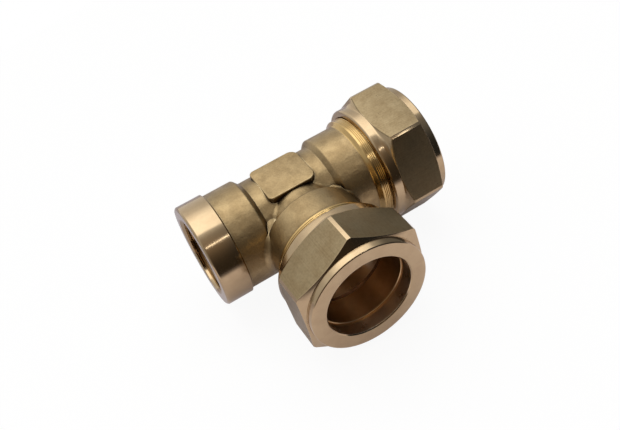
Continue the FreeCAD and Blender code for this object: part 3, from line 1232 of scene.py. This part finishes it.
@dataclass
class Studio:
    """White table under a broad soft lamp, with darker room towards the viewer."""

    floor_radius: float = 0.17
    floor_depth: float = 0.002
    floor_columns: int = 96
    floor_white: float = 0.93       # share of the floor's own white; the rest takes shade
    mirrored_white: float = 0.3     # that share in the piece's metal
    # Painted shade of the floor in the piece's metal: darker far in front of it, nearly white
    # near it and darker behind it, and from where to where in Y each takes over, in metres.
    floor_far: str = "#7A7478"
    mirrored_floor_shades: tuple = (("#FFF8FD", -0.12, -0.08), ("#C4C0C8", -0.04, 0.02))
    lamps: tuple[SoftLamp, ...] = (
        SoftLamp("strip_lamp", (0.10, -0.325, 0.5), 0.26, 0.022, 5.6, 8.0),
        SoftLamp("small_softbox", (0.25, -0.35, 0.5), 0.07, 0.18, 2.6, 12.0))
    # How bright the room is towards -X..+X, -Y..+Y and down..up, by the direction.
    across: tuple = ((-1.0, 0.6), (-0.77, 0.75), (-0.3, 1.0), (0.05, 1.0), (0.4, 0.68),
                     (0.64, 0.54), (0.8, 0.24), (1.0, 0.12))
    deep: tuple = ((-1.0, 0.05), (-0.8, 0.13), (-0.55, 0.34), (-0.25, 0.46), (0.0, 1.0), (1.0, 1.0))
    up: tuple = ((-1.0, 0.77), (0.35, 0.77), (0.6, 1.0), (0.8, 0.9), (1.0, 0.85))
    brightest: float = 1.3          # where all three are 1
    # Its dark side, towards the viewer, is a warm brown on the left and grey on the
    # right. Grey comes in between two shares of X, and untinted white between two of Y.
    warm: str = "#FFE6CB"
    cool: str = "#B8BCC4"
    cool_from: tuple[float, float] = (0.15, 0.4)
    white_from: tuple[float, float] = (-0.6, -0.1)
    # The overhead softbox adds to that, by x and y of the direction over its z. Its
    # front edge is sharp, and its cloth grows dimmer towards the back and the sides.
    softbox: float = 1.35
    softbox_up: tuple[float, float] = (0.2, 0.4)    # z from which it fades in, and is full
    softbox_across: tuple = ((-0.9, 0.0), (-0.45, 0.75), (-0.25, 1.0), (0.4, 1.0), (0.7, 0.8),
                             (0.95, 0.0))
    softbox_deep: tuple = ((-0.08, 0.0), (-0.03, 1.0), (0.45, 1.0), (0.7, 0.8), (1.0, 0.42),
                           (1.35, 0.0))
    softbox_reach: float = 1.5      # how far from straight up both are given

    def build(self) -> None:
        """Make the floor, the lamps and the room's white."""
        for lamp in self.lamps:
            lamp.build()
        self.build_floor()
        self.build_room()

    def build_floor(self) -> None:
        """Round table top that touches the piece's lowest point.

        Each row is a circle, and the last ones drop to close the slab.
        """
        angles = round_angles(self.floor_columns)
        radii = np.array([0.0, 0.5, 1.0, 1.0, 0.0])[:, None] * self.floor_radius
        heights = cad_bounds[0].z - np.array([0.0, 0.0, 0.0, 1.0, 1.0])[:, None] * self.floor_depth
        floor = make_object("floor", np.stack(np.broadcast_arrays(
            radii * np.cos(angles), radii * np.sin(angles), heights), axis=-1) / MM)
        # Matt white laminate: mostly its own white, so that only a faint shadow shows.
        material = bpy.data.materials.new("matt_white_laminate")
        tree = empty_tree(material)
        path = add(tree, "LightPath").outputs
        seen = path["Is Camera Ray"]
        mirrored = add(tree, "Math", {0: path["Is Glossy Ray"], 1: path["Is Transmission Ray"]},
                       operation="MAXIMUM")
        mirrored = add(tree, "Math", {0: mirrored, 1: self.mirrored_white}, operation="MULTIPLY")
        own = add(tree, "Math", {0: seen, 1: self.floor_white, 2: mirrored},
                  operation="MULTIPLY_ADD")
        # In the metal the floor is painted darker far in front of the piece and behind it: painted
        # shade.
        place = add(tree, "SeparateXYZ", {0: add(tree, "TexCoord").outputs["Object"]})
        floor_shades = [(add(tree, "MapRange", {"Value": place.outputs["Y"], "From Min": start,
                                         "From Max": end}), linear(tint))
                 for tint, start, end in self.mirrored_floor_shades]
        colour = linear(self.floor_far)
        for share, tint in (*floor_shades, (seen, WHITE)):
            colour = add(tree, "Mix", {FACTOR: share, UNDER: colour, OVER: tint},
                         data_type="RGBA")
        plain = add(tree, "BsdfDiffuse", {"Color": colour})
        white = add(tree, "Emission", {"Color": colour, "Strength": 1.0})
        add(tree, "OutputMaterial", {
            "Surface": add(tree, "MixShader", {0: own, 1: plain, 2: white})})
        floor.data.materials.append(material)

    def build_room(self) -> None:
        """White behind the piece for the camera, and the room's shades for its metal."""
        world = bpy.data.worlds.new("studio")
        tree = empty_tree(world)
        direction = add(tree, "SeparateXYZ", {0: add(tree, "TexCoord").outputs["Generated"]})
        x, y, z = direction.outputs
        room = self.product(tree, self.brightest, 1.0,
                            ((x, self.across), (y, self.deep), (z, self.up)))
        rising, cool, white = (
            add(tree, "MapRange", {"Value": value, "From Min": none, "From Max": full})
            for value, (none, full) in ((z, self.softbox_up), (x, self.cool_from),
                                        (y, self.white_from)))
        height = add(tree, "Math", {0: z, 1: self.softbox_up[0]}, operation="MAXIMUM")
        sideways, backwards = (add(tree, "Math", {0: value, 1: height}, operation="DIVIDE")
                               for value in (x, y))
        softbox = self.product(tree, self.softbox, self.softbox_reach,
                               ((sideways, self.softbox_across), (backwards, self.softbox_deep)))
        level = add(tree, "Math", {0: softbox, 1: rising, 2: room}, operation="MULTIPLY_ADD")
        # The camera sees plain white, whatever the room's shade.
        seen = add(tree, "LightPath").outputs["Is Camera Ray"]
        level = add(tree, "MapRange", {"Value": seen, "To Min": level, "To Max": 1.0})
        colour = linear(self.warm)
        for share, tint in ((cool, linear(self.cool)), (white, WHITE), (seen, WHITE)):
            colour = add(tree, "Mix", {FACTOR: share, UNDER: colour, OVER: tint},
                         data_type="RGBA")
        light = add(tree, "Background", {"Color": colour, "Strength": level})
        add(tree, "OutputWorld", {"Surface": light})
        bpy.context.scene.world = world

    def product(self, tree: bpy.types.NodeTree, level: float, reach: float,
                factors: tuple) -> bpy.types.Node:
        """Multiply a level by a ramp for each value.

        Args:
            tree: The world's node tree.
            level: What the ramps multiply.
            reach: How far from 0 the ramps go, both ways.
            factors: A value and its ramp's stops, each a place and a share.

        Returns:
            The product.
        """
        for value, stops in factors:
            share = add(tree, "MapRange", {"Value": value, "From Min": -reach, "From Max": reach})
            ramp = add(tree, "ValToRGB", {"Fac": share})
            elements = ramp.color_ramp.elements
            while len(elements) < len(stops):
                elements.new(0.5)
            for element, (place, white) in zip(elements, stops):
                element.position = (reach + place) / (2 * reach)
                element.color = (white, white, white, 1.0)
            level = add(tree, "Math", {0: ramp, 1: level}, operation="MULTIPLY")
        return level


@dataclass
class Camera:
    """Viewpoint above the piece's left front, sizes in millimetres and degrees."""

    target: tuple[float, float, float] = (2.85, -3.59, -2.41)
    heading: float = 19.08          # from +Y towards +X
    down: float = 45.66
    roll: float = -15.60
    distance: float = 214.0
    lens: float = 49.08
    clip: tuple[float, float] = (10.0, 10000.0)     # nearest and farthest that it sees

    def build(self) -> None:
        """Make the camera and use it.

        It stands back from the target by the distance, against the direction
        that the heading and the downward angle give.
        """
        turn = (Matrix.Rotation(math.radians(-self.heading), 4, "Z")
                @ Matrix.Rotation(math.radians(90.0 - self.down), 4, "X")
                @ Matrix.Rotation(math.radians(self.roll), 4, "Z"))
        back = turn @ Vector((0.0, 0.0, self.distance * MM))
        camera = bpy.data.cameras.new("camera")
        camera.lens = self.lens
        camera.clip_start, camera.clip_end = self.clip[0] * MM, self.clip[1] * MM
        bpy.context.scene.camera = add_object(
            "camera", camera, Matrix.Translation(Vector(self.target) * MM + back) @ turn)


def main() -> None:
    """Build every piece, the studio and the camera."""
    logging.basicConfig(level=logging.INFO, format="%(name)s: %(message)s")
    finishes = Finishes()
    for made in (
        TeeBody("tee", "tee_body", "forged_brass"),
        Nut("run_nut_hex", "run_nut", "turned_brass", Port.RUN, turn=5.9),
        Nut("branch_nut_hex", "branch_nut", "turned_brass", Port.BRANCH, turn=-27.8),
        Olive("run_olive_ring", "run_olive", "olive_brass", Port.RUN),
        Olive("branch_olive_ring", "branch_olive", "olive_brass", Port.BRANCH),
    ):
        piece = made.build(finishes)
        log.info("%s: %d faces", piece.name, len(piece.data.polygons))
    Studio().build()
    Camera().build()
    bpy.context.scene.view_settings.view_transform = "Standard"


if __name__ == "__main__":
    main()
